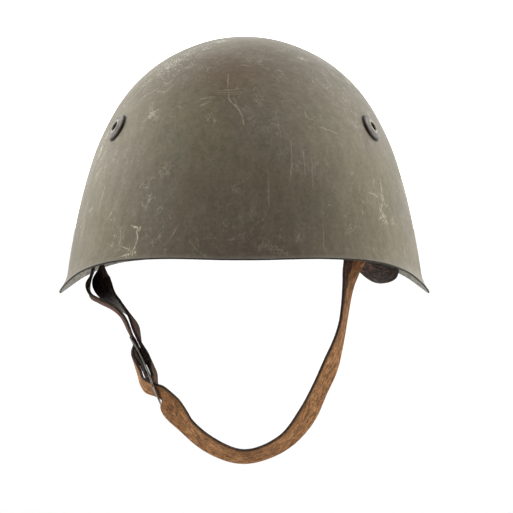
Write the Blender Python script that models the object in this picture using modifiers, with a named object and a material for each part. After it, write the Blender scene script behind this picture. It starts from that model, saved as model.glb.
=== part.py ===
"""Steel combat helmet with a leather chin strap.

A pressed steel shell carries a plain steel hoop on three hollow rivets. A wire bail hangs from the hoop on each
side, and one leather strap runs from the wearer's left bail, under the chin, through both slots of a slider, over
the wearer's right bail and down again to the slider's middle bar, where its end is sewn.

Metres, +Z up, the brow faces -Y and the wearer's left is +X. The origin is inside the crown, level with the
rivets and on the line where the shell is widest, where the hoop rests on a head.
"""

import math

import bmesh
import bpy
from mathutils import Matrix, Vector

# Shell
SHELL_WIDTH = 0.247  # over the lower edge, at its widest
SHELL_LENGTH = 0.280  # over the lower edge, brow to nape
SHELL_HEIGHT = 0.171  # lowest edge to crown
BROW_REACH = 0.156  # widest line to the brow's edge
BROW_RISE = 0.039  # brow's edge above the lowest edge
NAPE_RISE = 0.012  # nape's edge above the lowest edge
SIDE_FLARE = 0.0042
BROW_FLARE = 0.0022
NAPE_FLARE = 0.0070
FLARE_HEIGHT = 0.0125
NAPE_FLARE_HEIGHT = 0.0260
SHEET = 0.0012
PLAN_FULLNESS = 2.2  # exponent of the plan outline, 2 is an ellipse

# Vent rivets
RIVET_HEIGHT = 0.1138  # rivets above the lowest edge
RIVET_ROUND = 52.0  # degrees from the brow to each front rivet
RIVET_HEAD = 0.018
RIVET_EDGE = 0.0017  # height of the head at its edge
RIVET_LIP = 0.0027  # height of the lip round the hole
RIVET_TUBE = 0.0092
RIVET_BORE = 0.0062
RIVET_FLANGE = 0.0140
RIVET_FLANGE_THICK = 0.0010
HOLE_ROOM = 0.0004  # rivet tube to hole, all round
HOLE_DEPTH = 0.0200  # length of the tool that cuts the holes

# Hoop that carries the lining and the strap
BAND_TALL = 0.020
BAND_SHEET = 0.0012
TAB_WIDTH = 0.0170
TAB_AHEAD = 0.018  # tabs ahead of the widest line
TAB_ROOM = 0.0265  # bail bars to the shell's widest edge, level
TAB_DROP = 0.0610  # rivet level to the bail's top bar

# Wire bails
WIRE = 0.0025
BAIL_INSIDE = 0.0190  # between the sides
BAIL_TALL = 0.0150  # top bar to bottom bar, centre to centre
BAIL_CORNER = 0.0030

# Strap
STRAP_WIDTH = 0.0160
STRAP_THICK = 0.0018
STRAP_DROP = 0.1280  # bail's bottom bar to the strap's middle under the chin
STRAP_REACH = 0.0910  # bails to chin, forwards
STRAP_TURN_BACK = 0.0120  # length of each sewn end

# Slider
SLIDER_LENGTH = 0.0470
SLIDER_WIDTH = 0.0230
SLIDER_THICK = 0.0010
SLIDER_CORNER = 0.0030
SLIDER_BAR = 0.0040  # each end bar
SLIDER_SLOT = 0.0076  # each slot, along the slider
SLOT_ROOM = 0.0016  # slots wider than the strap
SLIDER_BEND = 0.0014  # how far the slider's middle lies in from its ends
SLIDER_BOW = 0.0058  # how far the strap's middle stands off the slider
SLIDER_OUT_LEAN = 30.5
SLIDER_BACK_LEAN = 46.5
SLIDER_TWIST = 8.7  # about its own length

GAP = 0.0003

ROUND_STEPS = 64
DOME_RINGS = 14
STRAP_STEP = 0.0050

# The shell's level sections, from the lowest edge to the crown, as shares of the height, of half the width, and
# of the reach ahead and behind. The last row lies past the crown and keeps it round.
#       row  rise   across  ahead  behind
DOME = (
    (0, 0.000, 1.000, 1.035, 1.000),
    (1, 0.110, 0.979, 1.020, 0.975),
    (2, 0.220, 0.952, 1.000, 0.945),
    (3, 0.335, 0.918, 0.972, 0.908),
    (4, 0.450, 0.875, 0.934, 0.863),
    (5, 0.560, 0.824, 0.885, 0.808),
    (6, 0.660, 0.759, 0.820, 0.740),
    (7, 0.750, 0.683, 0.738, 0.660),
    (8, 0.830, 0.587, 0.634, 0.562),
    (9, 0.900, 0.465, 0.502, 0.443),
    (10, 0.952, 0.325, 0.352, 0.310),
    (11, 0.988, 0.166, 0.180, 0.158),
    (12, 1.000, 0.000, 0.000, 0.000),
    (13, 0.988, -0.166, -0.180, -0.158),
)
CROWN_ROW = 12

# The lower edge's height round the shell, in degrees from the brow, as shares of the rise of brow and nape.
#       degrees brow   nape
EDGE = (
    (0, 1.000, 0.00),
    (20, 0.985, 0.00),
    (35, 0.860, 0.00),
    (49, 0.630, 0.00),
    (63, 0.340, 0.00),
    (77, 0.120, 0.00),
    (91, 0.015, 0.00),
    (105, 0.000, 0.06),
    (119, 0.000, 0.45),
    (133, 0.000, 0.88),
    (150, 0.000, 1.00),
    (180, 0.000, 1.00),
)

# The strap's route from the wearer's left bail to the slider: shares of the bails' distance from the middle
# plane, of the reach to the chin and of the drop to the chin, and the way that its rough tan side faces.
#                across  ahead  drop   tan side faces
LEFT_ROUTE = (
    ("sag's back", 1.040, 0.030, 0.086, (-0.99, 0.12, 0.00)),
    ("sag", 1.012, 0.095, 0.137, (-0.80, 0.58, 0.10)),
    ("sag's middle", 0.938, 0.190, 0.151, (-0.72, 0.62, 0.20)),
    ("sag's front", 0.856, 0.315, 0.120, (-0.70, 0.66, 0.15)),
    ("below the turn", 0.789, 0.410, 0.061, (-0.50, 0.52, 0.60)),
    ("turn", 0.747, 0.472, 0.026, (-0.10, 0.00, 1.00)),
    ("past the turn", 0.727, 0.516, 0.069, (0.50, -0.80, 0.20)),
    ("temple", 0.696, 0.533, 0.163, (0.85, -0.52, 0.00)),
    ("cheek", 0.666, 0.571, 0.311, (0.95, -0.29, 0.00)),
    ("cheek's middle", 0.649, 0.604, 0.389, (0.96, -0.27, 0.00)),
    ("lower cheek", 0.619, 0.648, 0.475, (0.90, -0.42, -0.10)),
    ("above the jaw", 0.567, 0.714, 0.581, (0.68, -0.69, -0.25)),
    ("jaw", 0.498, 0.780, 0.689, (0.55, -0.72, -0.40)),
    ("jaw's corner", 0.412, 0.857, 0.811, (0.35, -0.82, -0.44)),
    ("beside the chin", 0.247, 0.956, 0.940, (0.20, -0.72, -0.66)),
    ("chin", 0.000, 1.000, 1.000, (0.00, -0.66, -0.75)),
    ("other side", -0.252, 0.967, 0.930, (-0.30, -0.74, -0.60)),
    ("other jaw", -0.371, 0.912, 0.858, (-0.50, -0.72, -0.48)),
    ("below the slider", -0.475, 0.893, 0.763, (-0.33, -0.88, -0.28)),
)
SLIDER_PLACE = (-0.648, 0.670, 0.611)  # the same three shares for the slider's middle

# The two strands between the slider and the wearer's right bail, the outer one going up and the inner one down.
OUTER_STRAND = (
    ("above the slider", -0.797, 0.374, 0.388, (-0.88, -0.20, -0.42)),
    ("strands part", -0.852, 0.297, 0.346, (-0.70, -0.20, -0.65)),
    ("turning out", -0.931, 0.209, 0.317, (-0.50, -0.22, -0.82)),
    ("corner's front", -1.017, 0.126, 0.289, (-0.62, -0.20, -0.75)),
    ("corner", -1.055, 0.077, 0.260, (-0.93, -0.12, -0.35)),
    ("rise", -1.050, 0.027, 0.210, (-0.97, -0.15, -0.10)),
    ("below the bail", -1.024, 0.002, 0.142, (-1.00, 0.00, 0.00)),
)
INNER_STRAND = (
    ("below the bail", -0.974, 0.007, 0.142, (1.00, 0.15, 0.00)),
    ("fall", -0.974, 0.038, 0.212, (0.60, 0.72, -0.10)),
    ("turning in", -0.929, 0.088, 0.264, (0.72, 0.62, 0.07)),
    ("narrowing", -0.865, 0.154, 0.303, (0.80, 0.30, 0.40)),
    ("strands part", -0.805, 0.242, 0.335, (0.85, 0.10, 0.53)),
    ("above the slider", -0.748, 0.352, 0.385, (0.92, -0.10, 0.45)),
)


def between(rows, at):
    """Reads a table at a place between its rows, on a smooth curve through them."""
    i = max(0, min(len(rows) - 2, next((k - 1 for k, r in enumerate(rows) if r[0] > at), len(rows) - 2)))
    span = rows[i + 1][0] - rows[i][0]
    t = (at - rows[i][0]) / span

    def slope(k, c):
        if k == 0 or k == len(rows) - 1:
            j = max(1, min(k, len(rows) - 1))
            return (rows[j][c] - rows[j - 1][c]) / (rows[j][0] - rows[j - 1][0])
        before, after = rows[k][0] - rows[k - 1][0], rows[k + 1][0] - rows[k][0]
        rising = (rows[k][c] - rows[k - 1][c]) / before
        falling = (rows[k + 1][c] - rows[k][c]) / after
        return (rising * after + falling * before) / (before + after)

    out = []
    for c in range(1, len(rows[0])):
        a, b = rows[i][c], rows[i + 1][c]
        ma, mb = slope(i, c) * span, slope(i + 1, c) * span
        out.append(
            a * (2 * t**3 - 3 * t**2 + 1)
            + ma * (t**3 - 2 * t**2 + t)
            + b * (3 * t**2 - 2 * t**3)
            + mb * (t**3 - t**2)
        )
    return out


LOWEST = -RIVET_HEIGHT
TAB_OUT = SHELL_WIDTH / 2 - TAB_ROOM


def edge_height(degrees):
    brow, nape = between(EDGE, min(degrees % 360, 360 - degrees % 360))
    return LOWEST + brow * BROW_RISE + nape * NAPE_RISE


def flare_height(degrees):
    nape = between(EDGE, min(degrees % 360, 360 - degrees % 360))[1]
    return FLARE_HEIGHT + nape * (NAPE_FLARE_HEIGHT - FLARE_HEIGHT)


def row_at(height):
    """The place in the table of sections that lies at a height."""
    low, high = 0.0, float(CROWN_ROW)
    for _ in range(40):
        middle = (low + high) / 2
        if LOWEST + between(DOME, middle)[0] * SHELL_HEIGHT < height:
            low = middle
        else:
            high = middle
    return (low + high) / 2


BROW_SHARE = between(DOME, row_at(edge_height(0)))[2]
NAPE_SHARE = between(DOME, row_at(edge_height(180)))[3]


def dome(degrees, row, inset=0.0):
    """A point on the shell's outer face, or inside it by a level inset."""
    rise, across, ahead, behind = between(DOME, row)
    height = LOWEST + rise * SHELL_HEIGHT
    flare = max(0.0, 1 - (height - edge_height(degrees)) / flare_height(degrees)) ** 2
    s, c = math.sin(math.radians(degrees)), math.cos(math.radians(degrees))
    half = (SHELL_WIDTH / 2 - SIDE_FLARE) * across + SIDE_FLARE * flare - inset
    if c > 0:
        reach = (BROW_REACH - BROW_FLARE) * ahead / BROW_SHARE + BROW_FLARE * flare - inset
    else:
        reach = (SHELL_LENGTH - BROW_REACH - NAPE_FLARE) * behind / NAPE_SHARE + NAPE_FLARE * flare - inset
    n = PLAN_FULLNESS
    out = 1 / ((abs(s) / half) ** n + (abs(c) / reach) ** n) ** (1 / n)
    return Vector((out * s, -out * c, height))


def seat(degrees, height, inset=0.0):
    """The point on the shell at a height, and the way that the shell faces there."""
    row = row_at(height)
    here = dome(degrees, row, inset)
    aside = dome(degrees + 0.5, row, inset) - here
    above = dome(degrees, row + 0.05, inset) - here
    return here, aside.cross(above).normalized()


def collection(name):
    made = bpy.data.collections.new(name)
    bpy.context.scene.collection.children.link(made)
    return made


def add(name, mesh, material=None, where=None):
    made = bpy.data.objects.new(name, mesh)
    (where or HELMET).objects.link(made)
    if material:
        mesh.materials.append(material)
    else:
        made.hide_render = True
        made.display_type = "WIRE"
    return made


def surface(name, rows, closed=False, tip=None):
    """A mesh of quads through rows of points, closed round each row if asked, with a last point as its tip."""
    bm = bmesh.new()
    grid = [[bm.verts.new(p) for p in row] for row in rows]
    count = len(rows[0])
    for low, high in zip(grid, grid[1:]):
        for i in range(count if closed else count - 1):
            j = (i + 1) % count
            bm.faces.new((low[i], low[j], high[j], high[i]))
    if tip is not None:
        top = bm.verts.new(tip)
        for i in range(count):
            bm.faces.new((grid[-1][i], grid[-1][(i + 1) % count], top))
    mesh = bpy.data.meshes.new(name)
    bm.to_mesh(mesh)
    bm.free()
    return mesh


def sheet(thing, thickness, offset=-1.0):
    solid = thing.modifiers.new("sheet", "SOLIDIFY")
    solid.thickness = thickness
    solid.offset = offset
    solid.use_even_offset = True
    solid.use_quality_normals = True


def boolean(thing, other, operation="DIFFERENCE"):
    cut = thing.modifiers.new(other.name, "BOOLEAN")
    cut.operation = operation
    cut.object = other


def smooth(thing, angle=35.0):
    thing.data.shade_smooth()
    thing.data.set_sharp_from_angle(angle=math.radians(angle))


def paint(name, colour, roughness, metallic):
    made = bpy.data.materials.new(name)
    made.use_nodes = True
    shader = made.node_tree.nodes["Principled BSDF"]
    shader.inputs["Base Color"].default_value = (*colour, 1.0)
    shader.inputs["Roughness"].default_value = roughness
    shader.inputs["Metallic"].default_value = metallic
    return made


def axes(place, x, y, z):
    made = Matrix((x, y, z)).transposed().to_4x4()
    made.translation = place
    return made


for thing in list(bpy.data.objects):
    bpy.data.objects.remove(thing, do_unlink=True)

HELMET = collection("steel_combat_helmet")
CUTTERS = collection("cutters")

HELMET_PAINT = paint("grey_green_paint", (0.205, 0.185, 0.135), 0.55, 0.0)
RIVET_PAINT = paint("painted_rivet", (0.180, 0.165, 0.120), 0.50, 0.0)
STEEL = paint("dull_steel", (0.36, 0.35, 0.33), 0.42, 1.0)
LEATHER = paint("tan_leather", (0.330, 0.155, 0.065), 0.85, 0.0)

# Shell
angles = [360.0 * i / ROUND_STEPS for i in range(ROUND_STEPS)]
flare_rows = [
    [dome(a, row_at(edge_height(a) + flare_height(a) * share)) for a in angles] for share in (0, 0.28, 0.60)
]
start = [row_at(edge_height(a) + flare_height(a)) for a in angles]
dome_rows = [
    [dome(a, s + (CROWN_ROW - s) * ring / DOME_RINGS) for a, s in zip(angles, start)]
    for ring in range(DOME_RINGS)
]
crown = Vector((0, 0, LOWEST + SHELL_HEIGHT))
shell = add("shell", surface("shell", flare_rows + dome_rows, closed=True, tip=crown), HELMET_PAINT)
sheet(shell, SHEET)
smooth(shell)

# Hoop: it follows the shell's inside and its two tabs curl round the bails' top bars
band_inset = (SHEET + GAP) / abs(Vector(seat(90, 0)[1]).x) + GAP * 0.7
band_levels = [row_at(BAND_TALL * share) for share in (-0.5, 0.0, 0.5)]
band_rows = [[dome(a, row, band_inset) for a in angles] for row in band_levels]
band = add("liner_band", surface("liner_band", band_rows, closed=True), STEEL)
sheet(band, BAND_SHEET)
smooth(band)

curl = WIRE / 2 + GAP + BAND_SHEET / 2
side_degrees = math.degrees(math.atan2(TAB_OUT, TAB_AHEAD))
for side, name in ((1, "left"), (-1, "right")):
    seats = [seat(side_degrees, BAND_TALL * share, band_inset) for share in (0.35, -0.45)]
    line = [p - n * BAND_SHEET * 1.05 for p, n in seats]
    end = Vector((TAB_OUT + curl, 0, -TAB_DROP))
    line = [Vector((p.x, 0, p.z)) for p in line] + [end]
    down = (line[-1] - line[-2]).normalized()
    inward = Vector((down.z, 0, -down.x))
    centre = Vector((TAB_OUT, 0, -TAB_DROP))
    line[-1] = centre - inward * curl
    for k in range(1, 10):
        turn = math.radians(30 * k)
        line.append(centre - inward * curl * math.cos(turn) + down * curl * math.sin(turn))
    rows = [
        [Vector((p.x * side, -TAB_AHEAD + TAB_WIDTH * half, p.z)) for half in (-0.5, 0.5)] for p in line
    ]
    tab = add(f"tab_{name}", surface(f"tab_{name}", rows), where=CUTTERS)
    sheet(tab, BAND_SHEET, 0.0)
    boolean(band, tab, "UNION")

# Vent rivets and their holes
def turned(name, profile, steps):
    mesh = bpy.data.meshes.new(name)
    mesh.from_pydata([(r, 0, z) for r, z in profile], [(i, (i + 1) % len(profile)) for i in range(len(profile))], [])
    made = bpy.data.objects.new(name, mesh)
    HELMET.objects.link(made)
    screw = made.modifiers.new("turn", "SCREW")
    screw.steps = screw.render_steps = steps
    screw.use_merge_vertices = True
    screw.merge_threshold = RIVET_BORE / 600
    return made


through = SHEET + GAP + BAND_SHEET + 2 * GAP
inner_face = -(through + 3 * GAP)
rivet_profile = [
    (RIVET_BORE / 2, RIVET_LIP * 0.80),
    (RIVET_BORE / 2 + RIVET_LIP * 0.22, RIVET_LIP),
    (RIVET_TUBE / 2 + RIVET_LIP * 0.08, RIVET_LIP),
    (RIVET_TUBE / 2 + RIVET_LIP * 0.37, RIVET_LIP * 0.72),
    (RIVET_HEAD * 0.36, RIVET_EDGE * 1.18),
    (RIVET_HEAD / 2 - RIVET_EDGE * 0.35, RIVET_EDGE),
    (RIVET_HEAD / 2, RIVET_EDGE * 0.6),
    (RIVET_HEAD / 2, -GAP / 3),
    (RIVET_TUBE / 2 + HOLE_ROOM, GAP),
    (RIVET_TUBE / 2, GAP),
    (RIVET_TUBE / 2, inner_face),
    (RIVET_FLANGE / 2, inner_face),
    (RIVET_FLANGE / 2, inner_face - RIVET_FLANGE_THICK),
    (RIVET_BORE / 2, inner_face - RIVET_FLANGE_THICK),
]
for name, degrees in (("left", RIVET_ROUND), ("right", -RIVET_ROUND), ("rear", 180.0)):
    place, out = seat(degrees, 0.0)
    along = Vector((0, 0, 1)).cross(out).normalized()
    pose = axes(place, along, out.cross(along), out)
    rivet = turned(f"vent_rivet_{name}", rivet_profile, 24)
    rivet.data.materials.append(RIVET_PAINT)
    rivet.matrix_world = pose
    smooth(rivet)
    bm = bmesh.new()
    bmesh.ops.create_cone(
        bm, cap_ends=True, segments=24, radius1=RIVET_TUBE / 2 + HOLE_ROOM, radius2=RIVET_TUBE / 2 + HOLE_ROOM,
        depth=HOLE_DEPTH,
    )
    hole_mesh = bpy.data.meshes.new(f"hole_{name}")
    bm.to_mesh(hole_mesh)
    bm.free()
    hole = add(f"hole_{name}", hole_mesh, where=CUTTERS)
    hole.matrix_world = pose
    boolean(shell, hole)
    boolean(band, hole)

# Wire bails
bail_centre = {}
for side, name in ((1, "left"), (-1, "right")):
    curve = bpy.data.curves.new(f"bail_{name}", "CURVE")
    curve.dimensions = "3D"
    curve.bevel_depth = WIRE / 2
    curve.bevel_resolution = 2
    wide, tall = (BAIL_INSIDE + WIRE) / 2, BAIL_TALL / 2
    points = []
    for cy, cz, first in ((1, 1, 0), (-1, 1, 90), (-1, -1, 180), (1, -1, 270)):
        for k in range(4):
            a = math.radians(first + 30 * k)
            points.append(
                (
                    side * TAB_OUT,
                    -TAB_AHEAD + cy * (wide - BAIL_CORNER) + BAIL_CORNER * math.cos(a),
                    -TAB_DROP - tall + cz * (tall - BAIL_CORNER) + BAIL_CORNER * math.sin(a),
                )
            )
    spline = curve.splines.new("POLY")
    spline.points.add(len(points) - 1)
    for point, place in zip(spline.points, points):
        point.co = (*place, 1.0)
    spline.use_cyclic_u = True
    curve.materials.append(STEEL)
    bail = bpy.data.objects.new(f"bail_{name}", curve)
    HELMET.objects.link(bail)
    bail_centre[side] = Vector((side * TAB_OUT, -TAB_AHEAD, -TAB_DROP - BAIL_TALL))

# Slider
def route_point(across, ahead, drop):
    return Vector(
        (across * TAB_OUT, -TAB_AHEAD - ahead * STRAP_REACH, -TAB_DROP - BAIL_TALL - drop * STRAP_DROP)
    )


out_lean, back_lean = math.radians(SLIDER_OUT_LEAN), math.radians(SLIDER_BACK_LEAN)
up = Vector((-math.sin(out_lean) * math.cos(back_lean), math.sin(back_lean), math.cos(out_lean) * math.cos(back_lean)))
facing = Matrix.Rotation(math.radians(SLIDER_TWIST), 3, up) @ up.cross(Vector((0, 1, 0))).normalized()
front = facing.cross(up)
if front.y > 0:
    front = -front
slider_pose = axes(route_point(*SLIDER_PLACE), up.cross(facing), up, facing)


half_long = SLIDER_LENGTH / 2
top_edge = half_long - SLIDER_BAR
mid_edge = top_edge - SLIDER_SLOT
slot_half = (STRAP_WIDTH + SLOT_ROOM) / 2


def bent(along, off=0.0):
    """A place on the slider, or off it by a distance, from the distance along its length."""
    share = along / half_long
    if abs(share) > 1:
        depth, rise = SLIDER_BEND * 2 * (abs(share) - 1), math.copysign(2 * SLIDER_BEND / half_long, share)
    else:
        depth, rise = SLIDER_BEND * (share**2 - 1), 2 * SLIDER_BEND * share / half_long
    return Vector((0, along, depth)) + Vector((0, -rise, 1)).normalized() * off


ends = [(half_long - SLIDER_CORNER * (1 - math.sin(a)), SLIDER_CORNER * (1 - math.cos(a)))
        for a in (math.radians(30 * k) for k in range(4))]
steps = [mid_edge * k / 5 for k in range(6)] + [mid_edge + SLIDER_SLOT / 2, top_edge]
steps = [(along, 0.0) for along in steps] + ends
steps = [(-along, less) for along, less in reversed(steps[1:])] + steps
bm = bmesh.new()
grid = []
for along, less in steps:
    side = SLIDER_WIDTH / 2 - less
    inside = min(slot_half, side - SLIDER_CORNER / 6)
    grid.append([bm.verts.new(bent(along) + Vector((x, 0, 0))) for x in (-side, -inside, inside, side)])
for (low, _), (high, _), below, above in zip(steps, steps[1:], grid, grid[1:]):
    for i in range(3):
        if i != 1 or not mid_edge < abs(low + high) / 2 < top_edge:
            bm.faces.new((below[i], below[i + 1], above[i + 1], above[i]))
plate_mesh = bpy.data.meshes.new("strap_slider")
bm.to_mesh(plate_mesh)
bm.free()
slider = add("strap_slider", plate_mesh, STEEL)
sheet(slider, SLIDER_THICK, 0.0)
slider.matrix_world = slider_pose
smooth(slider)

# Strap: its middle line as points, each with the way that its front edge or its tan side points
half = STRAP_THICK / 2
turn = SLIDER_THICK / 2 + GAP + half
second = turn + STRAP_THICK + GAP
bar_centre = top_edge + SLIDER_THICK / 4
mid_centre = mid_edge - SLIDER_THICK / 4
lean = math.sqrt(0.5)


def on_slider(along, off, tipped=0.0):
    """A point of the route beside the slider, with the strap's front edge tipped in by some degrees."""
    tip = math.radians(tipped)
    return (slider_pose @ bent(along, off), front * math.cos(tip) - facing * math.sin(tip), None)


def round_bar(side, hand, step=45):
    """Points over a bail's bottom bar, from the side that faces the wearer on the left bail and from the outer
    side on the right one."""
    centre, radius = bail_centre[side], WIRE / 2 + GAP + STRAP_THICK / 2
    found = []
    for a in range(0, 181, step):
        r = math.radians(a)
        found.append((centre + Vector((-radius * math.cos(r), 0, radius * math.sin(r))), Vector((0, hand, 0)), None))
    return found


def rows_of(table):
    return [(route_point(a, f, d), None, Vector(faces)) for _, a, f, d, faces in table]


left = bail_centre[1]
sewn = left + Vector((WIRE / 2 - half - 2 * GAP, 0, 0))
route = [
    (sewn - Vector((0, 0, STRAP_TURN_BACK)), Vector((0, 1, 0)), None),
    (sewn - Vector((0, 0, STRAP_TURN_BACK / 2)), Vector((0, 1, 0)), None),
]
route += round_bar(1, 1)
route += rows_of(LEFT_ROUTE)
# out through the low slot, over the middle bar and in through the top slot
route += [
    on_slider(-half_long, -second, 15.0),
    on_slider(-bar_centre, -turn),
    on_slider(-bar_centre + lean * turn, -lean * turn),
    on_slider(-bar_centre + 2 * lean * turn, 0),
    on_slider(-mid_centre - lean * second, lean * second),
    on_slider(-mid_centre + half, SLIDER_BOW * 0.88, 6.0),
    on_slider(-mid_centre * 0.35, SLIDER_BOW, 12.0),
    on_slider(mid_centre * 0.35, SLIDER_BOW * 0.95, 8.0),
    on_slider(mid_centre - half, SLIDER_BOW * 0.82, 3.0),
    on_slider(mid_centre + lean * second, lean * second),
    on_slider(bar_centre - 2 * lean * turn, 0),
    on_slider(bar_centre - lean * turn, -lean * turn),
    on_slider(bar_centre, -turn),
    on_slider(half_long, -turn),
]
# up to the bail, over it and down again
route += rows_of(OUTER_STRAND)
route += round_bar(-1, -1)
route += rows_of(INNER_STRAND)
# down the slider's inner side and round the middle bar to the sewn end
route += [
    on_slider(half_long, -second * 1.10),
    on_slider(bar_centre, -second * 1.04),
    on_slider(mid_centre - STRAP_TURN_BACK, -second * 1.02),
    on_slider(-mid_centre + STRAP_THICK * 2, -turn * 1.1),
    on_slider(-mid_centre, -turn),
    on_slider(-mid_centre - lean * turn, -lean * turn),
    on_slider(-mid_centre - turn, 0),
    on_slider(-mid_centre - lean * turn, lean * turn),
    on_slider(-mid_centre, turn),
    on_slider(0, turn),
    on_slider(mid_centre, turn),
    on_slider(mid_centre + lean * turn, lean * turn),
    on_slider(mid_centre + turn, 0),
    on_slider(mid_centre + lean * turn, -lean * turn),
    on_slider(mid_centre, -turn),
    on_slider(mid_centre - STRAP_TURN_BACK, -turn),
]


def ribbon(name, route, width, thick, step):
    places = [p for p, _, _ in route]
    edges = []
    for i, (_, edge, faces) in enumerate(route):
        if edge is None:
            along = (places[i + 1] - places[i - 1]).normalized()
            edge = (-faces).cross(along)
        edges.append(edge.normalized())
    keys = [0.0]
    for a, b in zip(places, places[1:]):
        keys.append(keys[-1] + (b - a).length)
    rows = [(k, *p, *e) for k, p, e in zip(keys, places, edges)]
    stations = []
    for a, b in zip(keys, keys[1:]):
        count = max(1, round((b - a) / step))
        stations += [a + (b - a) * i / count for i in range(count)]
    stations.append(keys[-1])
    w, t = width / 2, thick / 2
    bevel = thick * 0.25
    section = (
        (w, -t + bevel), (w, t - bevel), (w - bevel, t), (-w + bevel, t),
        (-w, t - bevel), (-w, -t + bevel), (-w + bevel, -t), (w - bevel, -t),
    )
    rings = []
    for s in stations:
        here = between(rows, s)
        place, edge = Vector(here[0:3]), Vector(here[3:6])
        ahead, behind = between(rows, min(s + thick / 9, keys[-1])), between(rows, max(s - thick / 9, 0.0))
        along = (Vector(ahead[0:3]) - Vector(behind[0:3])).normalized()
        edge = (edge - along * edge.dot(along)).normalized()
        dark = along.cross(edge)
        rings.append([place + edge * x + dark * y for x, y in section])
    bm = bmesh.new()
    grid = [[bm.verts.new(p) for p in ring] for ring in rings]
    count = len(section)
    for low, high in zip(grid, grid[1:]):
        for i in range(count):
            j = (i + 1) % count
            bm.faces.new((low[i], low[j], high[j], high[i]))
    bm.faces.new(list(reversed(grid[0])))
    bm.faces.new(grid[-1])
    mesh = bpy.data.meshes.new(name)
    bm.to_mesh(mesh)
    bm.free()
    return mesh


strap = add("chin_strap", ribbon("chin_strap", route, STRAP_WIDTH, STRAP_THICK, STRAP_STEP), LEATHER)
smooth(strap, 50.0)
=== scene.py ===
import math

import bmesh
import bpy
from mathutils import Matrix, Vector, noise
from mathutils.kdtree import KDTree


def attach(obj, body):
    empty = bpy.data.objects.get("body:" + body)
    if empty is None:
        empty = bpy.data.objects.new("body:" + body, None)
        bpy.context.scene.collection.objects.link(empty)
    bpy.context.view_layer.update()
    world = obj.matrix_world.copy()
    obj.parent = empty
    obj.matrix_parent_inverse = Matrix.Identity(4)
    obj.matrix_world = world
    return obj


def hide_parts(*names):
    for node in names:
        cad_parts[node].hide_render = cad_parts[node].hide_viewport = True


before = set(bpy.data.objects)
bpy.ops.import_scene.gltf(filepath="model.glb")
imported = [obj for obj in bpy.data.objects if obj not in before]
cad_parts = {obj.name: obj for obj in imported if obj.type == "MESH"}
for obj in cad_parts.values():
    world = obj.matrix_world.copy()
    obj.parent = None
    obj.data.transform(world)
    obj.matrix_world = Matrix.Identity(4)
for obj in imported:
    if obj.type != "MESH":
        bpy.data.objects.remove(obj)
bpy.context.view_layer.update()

# Sizes, in metres, as in the part's source
SHELL_WIDTH = 0.247
SHELL_LENGTH = 0.280
SHELL_HEIGHT = 0.171
BROW_REACH = 0.156
BROW_RISE = 0.039
NAPE_RISE = 0.012
SIDE_FLARE = 0.0042
BROW_FLARE = 0.0022
NAPE_FLARE = 0.0070
FLARE_HEIGHT = 0.0125
NAPE_FLARE_HEIGHT = 0.026
SHEET = 0.0012
PLAN_FULLNESS = 2.2
RIVET_HEIGHT = 0.1138
RIVET_ROUND = 52.0
RIVET_HEAD = 0.0180
RIVET_EDGE = 0.0017
RIVET_LIP = 0.0027
RIVET_TUBE = 0.0092
RIVET_BORE = 0.0062
RIVET_FLANGE = 0.0140
RIVET_FLANGE_THICK = 0.0010
HOLE_ROOM = 0.0004
HOLE_DEPTH = 0.02
BAND_TALL = 0.020
BAND_SHEET = 0.0012
TAB_WIDTH = 0.017
TAB_AHEAD = 0.018
TAB_ROOM = 0.0265
TAB_DROP = 0.061
WIRE = 0.0025
BAIL_INSIDE = 0.019
BAIL_TALL = 0.015
BAIL_CORNER = 0.003
STRAP_WIDTH = 0.0160
STRAP_THICK = 0.0018
STRAP_DROP = 0.1280
STRAP_REACH = 0.0910
SLIDER_LENGTH = 0.0470
SLIDER_WIDTH = 0.0230
SLIDER_THICK = 0.0010
SLIDER_CORNER = 0.0030
SLIDER_BAR = 0.0040
SLIDER_SLOT = 0.0076
SLOT_ROOM = 0.0016
SLIDER_BEND = 0.0014
SLIDER_OUT_LEAN = 30.5
SLIDER_BACK_LEAN = 46.5
SLIDER_TWIST = 8.7
SLIDER_PLACE = (-0.648, 0.670, 0.611)
GAP = 0.0003

# Light: how bright the studio is by direction
FRONT_DIM, BACK_BRIGHT, TOP_SHARE = 0.03, 2.25, 0.22

LOWEST = -RIVET_HEIGHT
TAB_OUT = SHELL_WIDTH / 2 - TAB_ROOM

# The bowl's sections: row, height, and how far it reaches across, forwards and back, as shares of the shell's sizes
DOME = (
    (0, 0.000, 1.000, 1.035, 1.000),
    (1, 0.110, 0.979, 1.020, 0.975),
    (2, 0.220, 0.952, 1.000, 0.945),
    (3, 0.335, 0.918, 0.972, 0.908),
    (4, 0.450, 0.875, 0.934, 0.863),
    (5, 0.560, 0.824, 0.885, 0.808),
    (6, 0.660, 0.759, 0.820, 0.740),
    (7, 0.750, 0.683, 0.738, 0.660),
    (8, 0.830, 0.587, 0.634, 0.562),
    (9, 0.900, 0.465, 0.502, 0.443),
    (10, 0.952, 0.325, 0.352, 0.310),
    (11, 0.988, 0.166, 0.180, 0.158),
    (12, 1.000, 0.000, 0.000, 0.000),
    (13, 0.988, -0.166, -0.180, -0.158),
)
CROWN_ROW = 12
# The lower edge: degrees from the brow, and its rise as shares of the brow's and of the nape's
EDGE = (
    (0, 1.000, 0.00),
    (20, 0.985, 0.00),
    (35, 0.860, 0.00),
    (49, 0.630, 0.00),
    (63, 0.340, 0.00),
    (77, 0.120, 0.00),
    (91, 0.015, 0.00),
    (105, 0.000, 0.06),
    (119, 0.000, 0.45),
    (133, 0.000, 0.88),
    (150, 0.000, 1.00),
    (180, 0.000, 1.00),
)

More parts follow.
